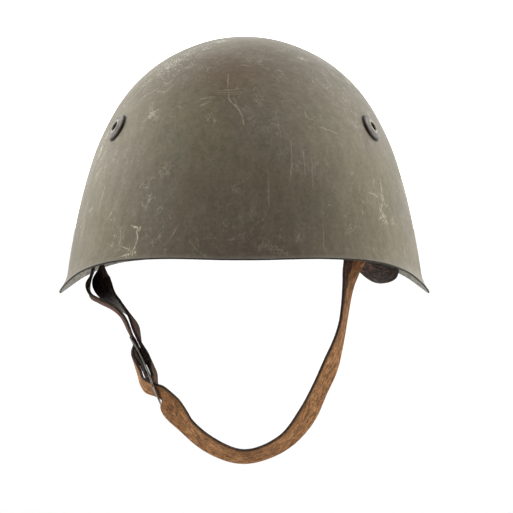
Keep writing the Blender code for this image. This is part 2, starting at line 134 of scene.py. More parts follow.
# The strap's middle line in millimetres, and the way that its edge points
ROUTE = (
    (96.75, -18.00, -88.00, 0.000, 1.000, 0.000),
    (96.75, -18.00, -82.00, 0.000, 1.000, 0.000),
    (94.55, -18.00, -76.00, 0.000, 1.000, 0.000),
    (95.27, -18.00, -74.27, 0.000, 1.000, 0.000),
    (97.00, -18.00, -73.55, 0.000, 1.000, 0.000),
    (98.73, -18.00, -74.27, 0.000, 1.000, 0.000),
    (99.45, -18.00, -76.00, 0.000, 1.000, 0.000),
    (100.88, -20.73, -87.01, 0.108, 0.889, -0.446),
    (98.16, -26.64, -93.54, 0.175, 0.396, -0.901),
    (90.99, -35.29, -95.33, -0.219, 0.060, -0.974),
    (83.03, -46.67, -91.36, -0.400, -0.223, -0.889),
    (76.53, -55.31, -83.81, -0.761, 0.017, -0.649),
    (72.46, -60.95, -79.33, -0.842, 0.534, -0.084),
    (70.52, -64.96, -84.83, -0.827, -0.425, 0.368),
    (67.51, -66.50, -96.86, -0.508, -0.830, 0.231),
    (64.60, -69.96, -115.81, -0.283, -0.926, 0.251),
    (62.95, -72.96, -125.79, -0.253, -0.900, 0.355),
    (60.04, -76.97, -136.80, -0.337, -0.829, 0.447),
    (55.00, -82.97, -150.37, -0.507, -0.688, 0.519),
    (48.31, -88.98, -164.19, -0.488, -0.678, 0.549),
    (39.96, -95.99, -179.81, -0.497, -0.565, 0.658),
    (23.96, -105.00, -196.32, -0.196, -0.692, 0.695),
    (0.00, -109.00, -204.00, 0.033, -0.750, 0.660),
    (-24.44, -106.00, -195.04, 0.213, -0.666, 0.715),
    (-35.99, -100.99, -185.82, 0.394, -0.683, 0.614),
    (-46.08, -99.26, -173.66, 0.642, -0.440, 0.628),
    (-51.06, -95.95, -166.88, 0.009, -0.630, 0.776),
    (-53.99, -93.20, -165.17, -0.234, -0.680, 0.695),
    (-54.77, -92.33, -164.57, -0.234, -0.680, 0.695),
    (-56.22, -91.49, -164.24, -0.234, -0.680, 0.695),
    (-59.55, -89.42, -163.33, -0.234, -0.680, 0.695),
    (-62.82, -86.98, -162.04, -0.137, -0.666, 0.733),
    (-65.50, -82.30, -158.36, -0.040, -0.644, 0.764),
    (-68.01, -76.53, -153.55, -0.105, -0.659, 0.744),
    (-69.83, -71.74, -149.47, -0.186, -0.674, 0.715),
    (-69.43, -68.90, -146.55, -0.234, -0.680, 0.695),
    (-68.34, -66.32, -143.66, -0.234, -0.680, 0.695),
    (-67.81, -65.25, -142.44, -0.234, -0.680, 0.695),
    (-67.91, -64.30, -141.54, -0.234, -0.680, 0.695),
    (-69.60, -61.60, -139.46, -0.234, -0.680, 0.695),
    (-77.31, -52.03, -125.66, -0.110, -0.788, 0.606),
    (-82.64, -45.03, -120.29, -0.373, -0.695, 0.615),
    (-90.31, -37.02, -116.58, -0.483, -0.726, 0.489),
    (-98.65, -29.47, -112.99, -0.411, -0.737, 0.536),
    (-102.33, -25.01, -109.28, -0.140, -0.761, 0.634),
    (-101.85, -20.46, -102.88, 0.101, -0.914, 0.393),
    (-99.33, -18.18, -94.18, 0.000, -0.996, 0.091),
    (-99.45, -18.00, -76.00, 0.000, -1.000, 0.000),
    (-98.73, -18.00, -74.27, 0.000, -1.000, 0.000),
    (-97.00, -18.00, -73.55, 0.000, -1.000, 0.000),
    (-95.27, -18.00, -74.27, 0.000, -1.000, 0.000),
    (-94.55, -18.00, -76.00, 0.000, -1.000, 0.000),
    (-94.25, -18.75, -94.18, 0.210, -0.970, 0.122),
    (-94.48, -21.46, -103.14, 0.715, -0.533, 0.452),
    (-90.11, -26.01, -109.79, 0.359, -0.506, 0.784),
    (-83.90, -32.01, -114.78, -0.149, -0.625, 0.766),
    (-78.08, -40.02, -118.88, -0.357, -0.628, 0.691),
    (-72.20, -50.03, -125.28, -0.365, -0.723, 0.586),
    (-67.47, -61.13, -138.29, -0.234, -0.680, 0.695),
    (-65.95, -63.91, -140.49, -0.234, -0.680, 0.695),
    (-57.94, -78.68, -152.27, -0.234, -0.680, 0.695),
    (-57.20, -84.54, -157.76, -0.234, -0.680, 0.695),
    (-56.25, -87.21, -160.06, -0.234, -0.680, 0.695),
    (-56.36, -88.12, -160.99, -0.234, -0.680, 0.695),
    (-57.33, -88.56, -161.74, -0.234, -0.680, 0.695),
    (-58.59, -88.26, -161.87, -0.234, -0.680, 0.695),
    (-59.40, -87.41, -161.32, -0.234, -0.680, 0.695),
    (-63.13, -79.00, -154.33, -0.234, -0.680, 0.695),
    (-67.47, -70.66, -147.62, -0.234, -0.680, 0.695),
    (-67.52, -69.73, -146.72, -0.234, -0.680, 0.695),
    (-66.66, -69.19, -145.90, -0.234, -0.680, 0.695),
    (-65.39, -69.36, -145.65, -0.234, -0.680, 0.695),
    (-64.46, -70.16, -146.12, -0.234, -0.680, 0.695),
    (-59.92, -78.90, -153.16, -0.234, -0.680, 0.695),
)

# Wear on the paint, in millimetres. Strokes are laid in layers, so that near ones don't share values on the mesh.
LAYERS = 4
# width, strength and points
STROKES = (
    (0.7, 0.55, (-9.4, -105.0, 22.1), (-9.2, -107.6, 19.9), (-8.0, -109.6, 18.1), (-5.3, -111.1, 16.8),
     (-3.2, -113.9, 14.2), (-1.7, -116.1, 12.0), (-0.7, -118.4, 9.3), (-0.0, -120.9, 6.3)),
    (0.6, 0.5, (-26.7, -103.4, 19.7), (-24.3, -102.9, 20.8), (-21.9, -103.1, 21.4), (-19.1, -103.9, 21.4)),
    (0.6, 0.5, (-26.6, -107.3, 16.3), (-22.8, -106.9, 17.8)),
    (0.35, 0.6, (-14.8, -100.2, 25.2), (-4.9, -101.0, 25.6)),
    (0.35, 0.5, (-14.0, -101.8, 24.1), (-4.9, -102.7, 24.3)),
    (0.35, 0.45, (-10.9, -103.8, 22.9), (-4.9, -104.0, 23.2)),
    (0.5, 0.45, (-9.9, -87.0, 34.5), (-9.7, -97.6, 27.8)),
    (0.5, 0.4, (-0.5, -76.9, 40.3), (4.5, -77.9, 39.7)),
    (0.5, 0.7, (-63.9, -66.7, 19.8), (-58.9, -70.0, 22.8), (-56.8, -71.0, 24.0)),
    (0.5, 0.5, (-54.6, -74.8, 23.7), (-50.3, -81.3, 23.2), (-47.1, -81.5, 25.2), (-45.6, -81.2, 26.4)),
    (0.5, 0.8, (-61.7, -90.4, 6.2), (-58.6, -90.8, 9.3), (-54.5, -92.0, 12.3)),
    (0.35, 0.5, (-58.5, -90.2, 10.0), (-54.6, -98.1, 6.7)),
    (0.35, 0.45, (-57.3, -90.2, 11.1), (-53.7, -97.8, 7.9)),
    (0.35, 0.5, (-60.1, -86.1, 11.5), (-56.0, -86.8, 14.9)),
    (0.35, 0.4, (-60.6, -89.5, 8.2), (-57.3, -95.1, 6.9)),
    (0.5, 0.6, (48.5, -107.5, 2.7), (53.3, -105.2, 0.6), (56.5, -103.6, -1.0)),
    (0.5, 0.5, (38.2, -107.0, 11.0), (38.6, -108.6, 9.1), (40.5, -108.1, 8.3), (43.6, -107.4, 6.9)),
    (0.6, 1.0, (-67.6, -123.7, -57.3), (-64.9, -126.3, -57.3), (-65.7, -126.5, -60.4), (-64.8, -128.2, -63.3),
     (-65.6, -128.9, -67.3), (-67.1, -129.1, -70.3), (-68.9, -129.3, -73.4), (-71.5, -128.0, -75.1),
     (-74.8, -125.1, -75.9)),
    (0.5, 0.6, (-68.9, -128.7, -72.5), (-73.3, -122.8, -70.5), (-75.5, -120.1, -70.2)),
    (0.5, 0.7, (-88.2, -85.3, -38.0), (-89.3, -85.9, -42.1), (-91.7, -85.5, -49.4)),
    (0.5, 0.7, (-82.5, -102.6, -50.2), (-83.6, -102.4, -53.3)),
    (0.5, 0.6, (-102.4, -63.5, -59.9), (-102.7, -67.2, -66.0), (-104.6, -64.1, -70.5)),
    (0.5, 0.6, (-76.2, -116.0, -61.4), (-75.6, -117.6, -64.3), (-76.6, -117.7, -67.9)),
    (0.6, 0.7, (86.2, -86.4, -33.8), (87.0, -89.6, -40.8), (86.5, -95.0, -48.2), (85.1, -98.8, -50.9)),
    (0.6, 0.7, (85.5, -99.9, -54.4), (87.0, -96.8, -53.1), (88.3, -95.2, -54.5), (89.6, -93.9, -56.9)),
    (0.5, 0.6, (79.5, -101.2, -38.7), (84.0, -95.6, -41.6)),
    (0.5, 0.5, (99.5, -45.4, -33.3), (102.4, -40.4, -40.2), (105.6, -31.8, -47.4)),
    (0.4, 0.4, (29.1, -124.6, -5.5), (29.7, -130.8, -16.1), (29.0, -135.5, -25.6)),
    (0.4, 0.35, (36.5, -124.7, -10.4), (37.1, -128.2, -16.9), (37.6, -131.2, -23.4)),
    (0.4, 0.3, (42.0, -125.5, -16.5), (42.3, -129.2, -23.9), (42.5, -132.3, -31.3)),
    (0.4, 0.3, (15.0, -138.6, -25.4), (15.3, -141.9, -33.9), (15.6, -144.8, -42.5)),
    (0.35, 0.6, (-43.4, -141.9, -61.7), (-40.9, -141.9, -57.4)),
)
# radius, strength and place
SCUFFS = (
    (7, 1.0, (-14, -26, 55)),
    (8, 0.8, (-25, -40, 50)),
    (8, 0.85, (-35, -41, 46)),
    (9, 0.7, (-43, -44, 43)),
    (8, 1.0, (-48, -48, 39)),
    (12, 0.55, (-56, -52, 33)),
    (9, 0.45, (-21, -88, 32)),
    (9, 0.5, (-19, -118, 8)),
    (8, 0.7, (-57, -92, 10)),
    (11, 0.5, (-62, -63, 23)),
    (10, 0.55, (-76, -48, 14)),
    (7, 1.0, (-88, -47, -6)),
    (7, 0.9, (-92, -48, -13)),
    (8, 0.8, (-93, -50, -19)),
    (9, 0.6, (-93, -64, -28)),
    (10, 0.6, (-96, -76, -50)),
    (8, 0.5, (-83, -103, -53)),
    (9, 0.5, (-102, -67, -64)),
    (10, 0.5, (-79, -114, -66)),
    (8, 0.8, (-69, -130, -74)),
    (7, 0.8, (38, -48, 43)),
    (10, 0.45, (24, -44, 49)),
    (10, 0.5, (56, -40, 36)),
    (7, 0.9, (69, -27, 28)),
    (10, 0.45, (69, -52, 21)),
    (10, 0.4, (47, -107, 4)),
    (8, 0.5, (66, -113, -30)),
    (10, 0.7, (104, -32, -40)),
    (10, 0.55, (88, -89, -44)),
    (8, 0.7, (87, -98, -54)),
    (10, 0.45, (80, -103, -43)),
    (10, 0.4, (96, -83, -60)),
    (12, 0.35, (35, -129, -16)),
    (12, 0.3, (-7, -140, -28)),
    (10, 0.4, (12, -72, 42)),
    (10, 0.35, (102, -77, -77)),
    (12, 0.35, (-51, -139, -64)),
)


def between(rows, at):
    """Reads a table at a place between its rows, on a smooth curve through them."""
    i = max(0, min(len(rows) - 2, next((k - 1 for k, r in enumerate(rows) if r[0] > at), len(rows) - 2)))
    span = rows[i + 1][0] - rows[i][0]
    t = (at - rows[i][0]) / span

    def slope(k, c):
        if k == 0 or k == len(rows) - 1:
            j = max(1, min(k, len(rows) - 1))
            return (rows[j][c] - rows[j - 1][c]) / (rows[j][0] - rows[j - 1][0])
        before, after = rows[k][0] - rows[k - 1][0], rows[k + 1][0] - rows[k][0]
        rising = (rows[k][c] - rows[k - 1][c]) / before
        falling = (rows[k + 1][c] - rows[k][c]) / after
        return (rising * after + falling * before) / (before + after)

    out = []
    for c in range(1, len(rows[0])):
        a, b = rows[i][c], rows[i + 1][c]
        ma, mb = slope(i, c) * span, slope(i + 1, c) * span
        out.append(
            a * (2 * t**3 - 3 * t**2 + 1)
            + ma * (t**3 - 2 * t**2 + t)
            + b * (3 * t**2 - 2 * t**3)
            + mb * (t**3 - t**2)
        )
    return out


def edge_height(degrees):
    brow, nape = between(EDGE, min(degrees % 360, 360 - degrees % 360))
    return LOWEST + brow * BROW_RISE + nape * NAPE_RISE


def flare_height(degrees):
    nape = between(EDGE, min(degrees % 360, 360 - degrees % 360))[1]
    return FLARE_HEIGHT + nape * (NAPE_FLARE_HEIGHT - FLARE_HEIGHT)


def row_at(height):
    low, high = 0.0, float(CROWN_ROW)
    for _ in range(30):
        middle = (low + high) / 2
        if LOWEST + between(DOME, middle)[0] * SHELL_HEIGHT < height:
            low = middle
        else:
            high = middle
    return (low + high) / 2


BROW_SHARE = between(DOME, row_at(edge_height(0)))[2]
NAPE_SHARE = between(DOME, row_at(edge_height(180)))[3]


def dome(degrees, row, inset=0.0):
    """A point on the shell's outer face, or inside it by a level inset."""
    rise, across, ahead, behind = between(DOME, row)
    height = LOWEST + rise * SHELL_HEIGHT
    flare = max(0.0, 1 - (height - edge_height(degrees)) / flare_height(degrees)) ** 2
    s, c = math.sin(math.radians(degrees)), math.cos(math.radians(degrees))
    half = (SHELL_WIDTH / 2 - SIDE_FLARE) * across + SIDE_FLARE * flare - inset
    if c > 0:
        reach = (BROW_REACH - BROW_FLARE) * ahead / BROW_SHARE + BROW_FLARE * flare - inset
    else:
        reach = (SHELL_LENGTH - BROW_REACH - NAPE_FLARE) * behind / NAPE_SHARE + NAPE_FLARE * flare - inset
    n = PLAN_FULLNESS
    out = 1 / ((abs(s) / half) ** n + (abs(c) / reach) ** n) ** (1 / n)
    return Vector((out * s, -out * c, height))


def seat(degrees, height, inset=0.0):
    """The point on the shell at a height, and the way that the shell faces there."""
    row = row_at(height)
    here = dome(degrees, row, inset)
    aside = dome(degrees + 0.5, row, inset) - here
    above = dome(degrees, row + 0.05, inset) - here
    return here, aside.cross(above).normalized()


def axes(place, x, y, z):
    made = Matrix((x, y, z)).transposed().to_4x4()
    made.translation = place
    return made


def add(name, mesh):
    made = bpy.data.objects.new(name, mesh)
    bpy.context.scene.collection.objects.link(made)
    return made


def smooth(thing, degrees=40.0):
    thing.data.shade_smooth()
    thing.data.set_sharp_from_angle(angle=math.radians(degrees))


def fixed(thing):
    """The thing with its modifiers applied, its place put into its mesh, and the rest of its data kept."""
    graph = bpy.context.evaluated_depsgraph_get()
    mesh = bpy.data.meshes.new_from_object(thing.evaluated_get(graph), preserve_all_data_layers=True, depsgraph=graph)
    mesh.transform(thing.matrix_world)
    name = thing.name
    bpy.data.objects.remove(thing, do_unlink=True)
    mesh.name = name
    return add(name, mesh)


def grid_mesh(name, rows, closed=False, tip=None):
    verts = [tuple(p) for row in rows for p in row]
    count = len(rows[0])
    faces = []
    for r in range(len(rows) - 1):
        for i in range(count if closed else count - 1):
            j = (i + 1) % count
            faces.append((r * count + i, r * count + j, (r + 1) * count + j, (r + 1) * count + i))
    if tip is not None:
        verts.append(tuple(tip))
        last = (len(rows) - 1) * count
        faces += [(last + i, last + (i + 1) % count, len(verts) - 1) for i in range(count)]
    mesh = bpy.data.meshes.new(name)
    mesh.from_pydata(verts, [], faces)
    mesh.update()
    return mesh


def sheet(thing, thickness, offset=-1.0):
    solid = thing.modifiers.new("sheet", "SOLIDIFY")
    solid.thickness = thickness
    solid.offset = offset
    solid.use_even_offset = True
    solid.use_quality_normals = True


def boolean(thing, other, operation="DIFFERENCE"):
    cut = thing.modifiers.new(other.name, "BOOLEAN")
    cut.operation = operation
    cut.object = other


def rounded(thing, width, segments=2, degrees=40.0):
    bevel = thing.modifiers.new("rounded", "BEVEL")
    bevel.width = width
    bevel.segments = segments
    bevel.limit_method = "ANGLE"
    bevel.angle_limit = math.radians(degrees)


class Nodes:
    """A short way to write a material's nodes."""

    def __init__(self, name):
        self.material = bpy.data.materials.new(name)
        self.material.use_nodes = True
        self.tree = self.material.node_tree
        self.shader = self.tree.nodes["Principled BSDF"]
        self.where = self.new("ShaderNodeTexCoord").outputs["Object"]

    def new(self, kind, **settings):
        node = self.tree.nodes.new(kind)
        for key, value in settings.items():
            setattr(node, key, value)
        return node

    def put(self, socket, value):
        if isinstance(value, bpy.types.NodeSocket):
            self.tree.links.new(value, socket)
        elif hasattr(socket.default_value, "__len__") and not hasattr(value, "__len__"):
            socket.default_value = [value] * len(socket.default_value)
        elif hasattr(value, "__len__") and len(socket.default_value) == 4 and len(value) == 3:
            socket.default_value = (*value, 1.0)
        else:
            socket.default_value = value

    def maths(self, what, a, b=0.0, c=0.0):
        node = self.new("ShaderNodeMath", operation=what)
        for socket, value in zip(node.inputs, (a, b, c)):
            self.put(socket, value)
        return node.outputs[0]

    def vector(self, what, a, b=(0.0, 0.0, 0.0)):
        node = self.new("ShaderNodeVectorMath", operation=what)
        self.put(node.inputs[0], a)
        if what == "SCALE":
            self.put(node.inputs["Scale"], b)
        else:
            self.put(node.inputs[1], b)
        return node.outputs["Value" if what in ("DISTANCE", "LENGTH", "DOT_PRODUCT") else "Vector"]

    def noise(self, scale, detail=4.0, rough=0.55, where=None, twist=0.0, colour=False):
        node = self.new("ShaderNodeTexNoise")
        self.put(node.inputs["Vector"], where or self.where)
        self.put(node.inputs["Scale"], scale)
        self.put(node.inputs["Detail"], detail)
        self.put(node.inputs["Roughness"], rough)
        self.put(node.inputs["Distortion"], twist)
        return node.outputs["Color" if colour else "Fac"]

    def voronoi(self, scale, feature, where):
        node = self.new("ShaderNodeTexVoronoi", feature=feature)
        self.put(node.inputs["Vector"], where)
        self.put(node.inputs["Scale"], scale)
        return node.outputs["Distance"]

    def stretched(self, scale, where=None, turn=(0.0, 0.0, 0.0), move=(0.0, 0.0, 0.0)):
        node = self.new("ShaderNodeMapping")
        self.put(node.inputs["Vector"], where or self.where)
        self.put(node.inputs["Location"], move)
        self.put(node.inputs["Rotation"], tuple(math.radians(t) for t in turn))
        self.put(node.inputs["Scale"], scale)
        return node.outputs[0]

    def band(self, value, low, high, out_low=0.0, out_high=1.0):
        node = self.new("ShaderNodeMapRange", interpolation_type="SMOOTHSTEP")
        for key, v in zip(("Value", "From Min", "From Max", "To Min", "To Max"), (value, low, high, out_low, out_high)):
            self.put(node.inputs[key], v)
        return node.outputs[0]

    def mix(self, share, a, b):
        node = self.new("ShaderNodeMix", data_type="RGBA")
        self.put(node.inputs["Factor"], share)
        self.put(node.inputs["A"], a)
        self.put(node.inputs["B"], b)
        return node.outputs["Result"]

    def shade(self, colour, light):
        """The colour made lighter or darker by a number."""
        node = self.new("ShaderNodeMix", data_type="RGBA", blend_type="MULTIPLY")
        self.put(node.inputs["Factor"], 1.0)
        self.put(node.inputs["A"], colour)
        self.put(node.inputs["B"], light)
        return node.outputs["Result"]

    def attribute(self, name, what="Fac"):
        return self.new("ShaderNodeAttribute", attribute_name=name).outputs[what]

    def near(self, place, radius):
        """1 at a place on the object, falling to 0 at a radius."""
        away = self.vector("DISTANCE", self.where, place)
        return self.band(away, radius, 0.0)

    def bump(self, height, strength, distance):
        node = self.new("ShaderNodeBump")
        self.put(node.inputs["Height"], height)
        self.put(node.inputs["Strength"], strength)
        self.put(node.inputs["Distance"], distance)
        return node.outputs[0]

    def finish(self, colour, rough, metallic=0.0, normal=None):
        self.put(self.shader.inputs["Base Color"], colour)
        self.put(self.shader.inputs["Roughness"], rough)
        self.put(self.shader.inputs["Metallic"], metallic)
        if normal is not None:
            self.put(self.shader.inputs["Normal"], normal)
        return self.material


def floats(mesh, name, values):
    layer = mesh.attributes.new(name, "FLOAT", "POINT")
    layer.data.foreach_set("value", values)


# Shell: 1.2 mm sheet with a rounded lower edge, a finer copy of the source's form
STEPS = 240
angles = [360.0 * i / STEPS for i in range(STEPS)]
heights = [edge_height(a) for a in angles]
flares = [flare_height(a) for a in angles]
shares = (0.0, 0.03, 0.08, 0.16, 0.26, 0.38, 0.52, 0.68, 0.84)
flare_rows = [[dome(a, row_at(h + f * share)) for a, h, f in zip(angles, heights, flares)] for share in shares]
starts = [row_at(h + f) for h, f in zip(heights, flares)]
RINGS = 52
dome_rows = [
    [dome(a, s + (CROWN_ROW - s) * ring / RINGS) for a, s in zip(angles, starts)] for ring in range(RINGS)
]
crown = Vector((0, 0, LOWEST + SHELL_HEIGHT))
shell = add("shell_steel", grid_mesh("shell_steel", flare_rows + dome_rows, closed=True, tip=crown))
levels = []
for row in flare_rows + dome_rows:
    levels += [p.z - h for p, h in zip(row, heights)]
floats(shell.data, "above_edge", levels + [0.2])
shell.vertex_groups.new(name="inner")
sheet(shell, SHEET)
shell.modifiers["sheet"].shell_vertex_group = "inner"
shell = fixed(shell)
groups = {v.index for v in shell.data.vertices for g in v.groups if g.weight > 0.5}
floats(shell.data, "inside", [1.0 if v.index in groups else 0.0 for v in shell.data.vertices])
rounded(shell, 0.00042, 2, 60.0)
shell = fixed(shell)

RIVET_SEATS = {}
for name, degrees in (("left", RIVET_ROUND), ("right", -RIVET_ROUND), ("rear", 180.0)):
    place, out = seat(degrees, 0.0)
    along = Vector((0, 0, 1)).cross(out).normalized()
    RIVET_SEATS[name] = axes(place, along, out.cross(along), out)


def lay_strokes(mesh, strokes, layers):
    """Give each vertex, layer by layer, its signed distance across the nearest stroke and how strongly that shows."""
    tree = KDTree(len(mesh.vertices))
    for v in mesh.vertices:
        tree.insert(v.co, v.index)
    tree.balance()
    laid = [[] for _ in range(layers)]
    closest = [{} for _ in range(layers)]
    for width, strength, *points in strokes:
        points = [Vector(p) * 0.001 for p in points]
        room = [min(((p - q).length for other in layer for q in other for p in points), default=1.0) for layer in laid]
        k = next((i for i, r in enumerate(room) if r > 0.016), room.index(max(room)))
        laid[k].append(points)
        for a, b in zip(points, points[1:]):
            run = b - a
            for place, index, _ in tree.find_range((a + b) / 2, run.length / 2 + 0.007):
                share = (place - a).dot(run) / run.length_squared
                away = (place - a - run * min(max(share, 0.0), 1.0)).length
                if away < closest[k].get(index, (1.0,))[0]:
                    side = mesh.vertices[index].normal.cross(run).normalized()
                    past = max(-share, share - 1, 0.0) * run.length
                    near = min(max(1.3 - past / 0.0018, 0.0), 1.0) * min(max((0.0062 - away) / 0.0015, 0.0), 1.0)
                    closest[k][index] = away, (place - a).dot(side) / (width * 0.001), near * strength
    for k, layer in enumerate(closest):
        floats(mesh, f"stroke_off_{k}", [layer.get(v.index, (0, 50.0))[1] for v in mesh.vertices])
        floats(mesh, f"stroke_near_{k}", [layer.get(v.index, (0, 0, 0.0))[2] for v in mesh.vertices])


def drill(thing):
    cutters = []
    for name, pose in RIVET_SEATS.items():
        bm = bmesh.new()
        radius = RIVET_TUBE / 2 + HOLE_ROOM
        bmesh.ops.create_cone(bm, cap_ends=True, segments=48, radius1=radius, radius2=radius, depth=HOLE_DEPTH)
        mesh = bpy.data.meshes.new(f"hole_{name}")
        bm.to_mesh(mesh)
        bm.free()
        hole = add(f"hole_{name}", mesh)
        hole.matrix_world = pose
        cutters.append(hole)
        boolean(thing, hole)
    thing = fixed(thing)
    for hole in cutters:
        bpy.data.objects.remove(hole, do_unlink=True)
    return thing


shell = drill(shell)
smooth(shell, 50.0)
SCUFF_REACH, SCUFF_GAIN = 1.4, 1.25
scuffed = []
for v in shell.data.vertices:
    most = 0.0
    for radius, strength, place in SCUFFS:
        share = 1 - (v.co * 1000 - Vector(place)).length / (radius * SCUFF_REACH)
        if share > 0:
            most = max(most, strength * share * share * (3 - 2 * share))
    scuffed.append(min(most * SCUFF_GAIN, 1.0))
floats(shell.data, "scuffed", scuffed)
lay_strokes(shell.data, STROKES, LAYERS)

# Hoop with its two tabs
band_inset = (SHEET + GAP) / abs(Vector(seat(90, 0)[1]).x) + GAP * 0.7
band_levels = [row_at(BAND_TALL * share) for share in (-0.5, -0.25, 0.0, 0.25, 0.5)]
band_rows = [[dome(a, row, band_inset) for a in angles] for row in band_levels]
hoop = add("hoop_steel", grid_mesh("hoop_steel", band_rows, closed=True))
sheet(hoop, BAND_SHEET)
curl = WIRE / 2 + GAP + BAND_SHEET / 2
side_degrees = math.degrees(math.atan2(TAB_OUT, TAB_AHEAD))
tabs = []
for side, name in ((1, "left"), (-1, "right")):
    seats = [seat(side_degrees, BAND_TALL * share, band_inset) for share in (0.35, -0.45)]
    line = [p - n * BAND_SHEET * 1.05 for p, n in seats]
    end = Vector((TAB_OUT + curl, 0, -TAB_DROP))
    line = [Vector((p.x, 0, p.z)) for p in line] + [end]
    down = (line[-1] - line[-2]).normalized()
    inward = Vector((down.z, 0, -down.x))
    centre = Vector((TAB_OUT, 0, -TAB_DROP))
    line[-1] = centre - inward * curl
    for k in range(1, 28):
        turn = math.radians(10 * k)
        line.append(centre - inward * curl * math.cos(turn) + down * curl * math.sin(turn))
    rows = [[Vector((p.x * side, -TAB_AHEAD + TAB_WIDTH * half, p.z)) for half in (-0.5, 0.5)] for p in line]
    tab = add(f"tab_{name}", grid_mesh(f"tab_{name}", rows))
    sheet(tab, BAND_SHEET, 0.0)
    boolean(hoop, tab, "UNION")
    tabs.append(tab)
hoop = fixed(hoop)
for tab in tabs:
    bpy.data.objects.remove(tab, do_unlink=True)
hoop = drill(hoop)
rounded(hoop, 0.00018, 1, 50.0)
hoop = fixed(hoop)
smooth(hoop, 40.0)

# Vent rivets
through = SHEET + GAP + BAND_SHEET + 2 * GAP
inner_face = -(through + 3 * GAP)
bore, tube, head = RIVET_BORE / 2, RIVET_TUBE / 2, RIVET_HEAD / 2
rivet_profile = [
    (bore, RIVET_LIP * 0.62),
    (bore + RIVET_LIP * 0.05, RIVET_LIP * 0.86),
    (bore + RIVET_LIP * 0.18, RIVET_LIP * 0.97),
    (bore + RIVET_LIP * 0.34, RIVET_LIP),
    (tube - RIVET_LIP * 0.02, RIVET_LIP * 0.97),
    (tube + RIVET_LIP * 0.18, RIVET_LIP * 0.84),
    (tube + RIVET_LIP * 0.36, RIVET_LIP * 0.72),
    (tube + RIVET_LIP * 0.60, RIVET_EDGE * 1.09),
    (head * 0.80, RIVET_EDGE * 1.10),
    (head - RIVET_EDGE * 0.60, RIVET_EDGE * 1.02),
    (head - RIVET_EDGE * 0.28, RIVET_EDGE * 0.90),
    (head - RIVET_EDGE * 0.07, RIVET_EDGE * 0.66),
    (head, RIVET_EDGE * 0.35),
    (head, -GAP / 3),
    (tube + HOLE_ROOM, GAP),
    (tube, GAP),
    (tube, inner_face),
    (RIVET_FLANGE / 2, inner_face),
    (RIVET_FLANGE / 2 + GAP, inner_face - RIVET_FLANGE_THICK * 0.5),
    (RIVET_FLANGE / 2, inner_face - RIVET_FLANGE_THICK),
    (bore + GAP, inner_face - RIVET_FLANGE_THICK),
    (bore, inner_face - RIVET_FLANGE_THICK * 0.6),
]
rivets = []
for name, pose in RIVET_SEATS.items():
    turns = 64
    rows = []
    for k in range(turns):
        a = 2 * math.pi * k / turns
        rows.append([pose @ Vector((r * math.cos(a), r * math.sin(a), z)) for r, z in rivet_profile])
    count = len(rivet_profile)
    mesh = bpy.data.meshes.new(f"rivet_{name}")
    mesh.from_pydata(
        [tuple(p) for row in rows for p in row],
        [],
        [
            (k * count + i, k * count + j, (k + 1) % turns * count + j, (k + 1) % turns * count + i)
            for k in range(turns)
            for i, j in zip(range(count), [*range(1, count), 0])
        ],
    )
    bm = bmesh.new()
    bm.from_mesh(mesh)
    bmesh.ops.recalc_face_normals(bm, faces=bm.faces)
    bm.to_mesh(mesh)
    bm.free()
    floats(mesh, "from_axis", [r for _ in range(turns) for r, _ in rivet_profile])
    floats(mesh, "off_shell", [z for _ in range(turns) for _, z in rivet_profile])
    rivet = add(f"rivet_{name}", mesh)
    smooth(rivet, 55.0)
    rivets.append(rivet)

# Wire bails
bails = []
for side, name in ((1, "left"), (-1, "right")):
    wide, tall = (BAIL_INSIDE + WIRE) / 2, BAIL_TALL / 2
    path = []
    for cy, cz, first in ((1, 1, 0), (-1, 1, 90), (-1, -1, 180), (1, -1, 270)):
        for k in range(9):
            a = math.radians(first + 90 * k / 8)
            path.append(
                Vector(
                    (
                        side * TAB_OUT,
                        -TAB_AHEAD + cy * (wide - BAIL_CORNER) + BAIL_CORNER * math.cos(a),
                        -TAB_DROP - tall + cz * (tall - BAIL_CORNER) + BAIL_CORNER * math.sin(a),
                    )
                )
            )
    rows = []
    around = [math.radians(22.5 * k) for k in range(16)]
    for i, p in enumerate(path):
        along = (path[(i + 1) % len(path)] - path[i - 1]).normalized()
        out = along.cross(Vector((1, 0, 0)))
        rows.append([p + (Vector((1, 0, 0)) * math.cos(a) + out * math.sin(a)) * WIRE / 2 for a in around])
    rows.append(rows[0])
    bail = add(f"wire_{name}", grid_mesh(f"wire_{name}", rows, closed=True))
    bm = bmesh.new()
    bm.from_mesh(bail.data)
    bmesh.ops.remove_doubles(bm, verts=bm.verts, dist=1e-6)
    bmesh.ops.recalc_face_normals(bm, faces=bm.faces)
    bm.to_mesh(bail.data)
    bm.free()
    bail.data.shade_smooth()
    bails.append(bail)

# Slider
out_lean, back_lean = math.radians(SLIDER_OUT_LEAN), math.radians(SLIDER_BACK_LEAN)
up = Vector((-math.sin(out_lean) * math.cos(back_lean), math.sin(back_lean), math.cos(out_lean) * math.cos(back_lean)))
facing = Matrix.Rotation(math.radians(SLIDER_TWIST), 3, up) @ up.cross(Vector((0, 1, 0))).normalized()
across, ahead, drop = SLIDER_PLACE
slider_place = Vector((across * TAB_OUT, -TAB_AHEAD - ahead * STRAP_REACH, -TAB_DROP - BAIL_TALL - drop * STRAP_DROP))
slider_pose = axes(slider_place, up.cross(facing), up, facing)
half_long = SLIDER_LENGTH / 2
top_edge = half_long - SLIDER_BAR
mid_edge = top_edge - SLIDER_SLOT
slot_half = (STRAP_WIDTH + SLOT_ROOM) / 2
corner = [(half_long - SLIDER_CORNER * (1 - math.sin(a)), SLIDER_CORNER * (1 - math.cos(a)))
          for a in (math.radians(9 * k) for k in range(11))]
steps = [(mid_edge * k / 10, 0.0) for k in range(11)]
steps += [(mid_edge + SLIDER_SLOT * k / 4, 0.0) for k in (1, 2, 3, 4)] + corner
steps = [(-a, b) for a, b in reversed(steps[1:])] + steps
bm = bmesh.new()
rows = []
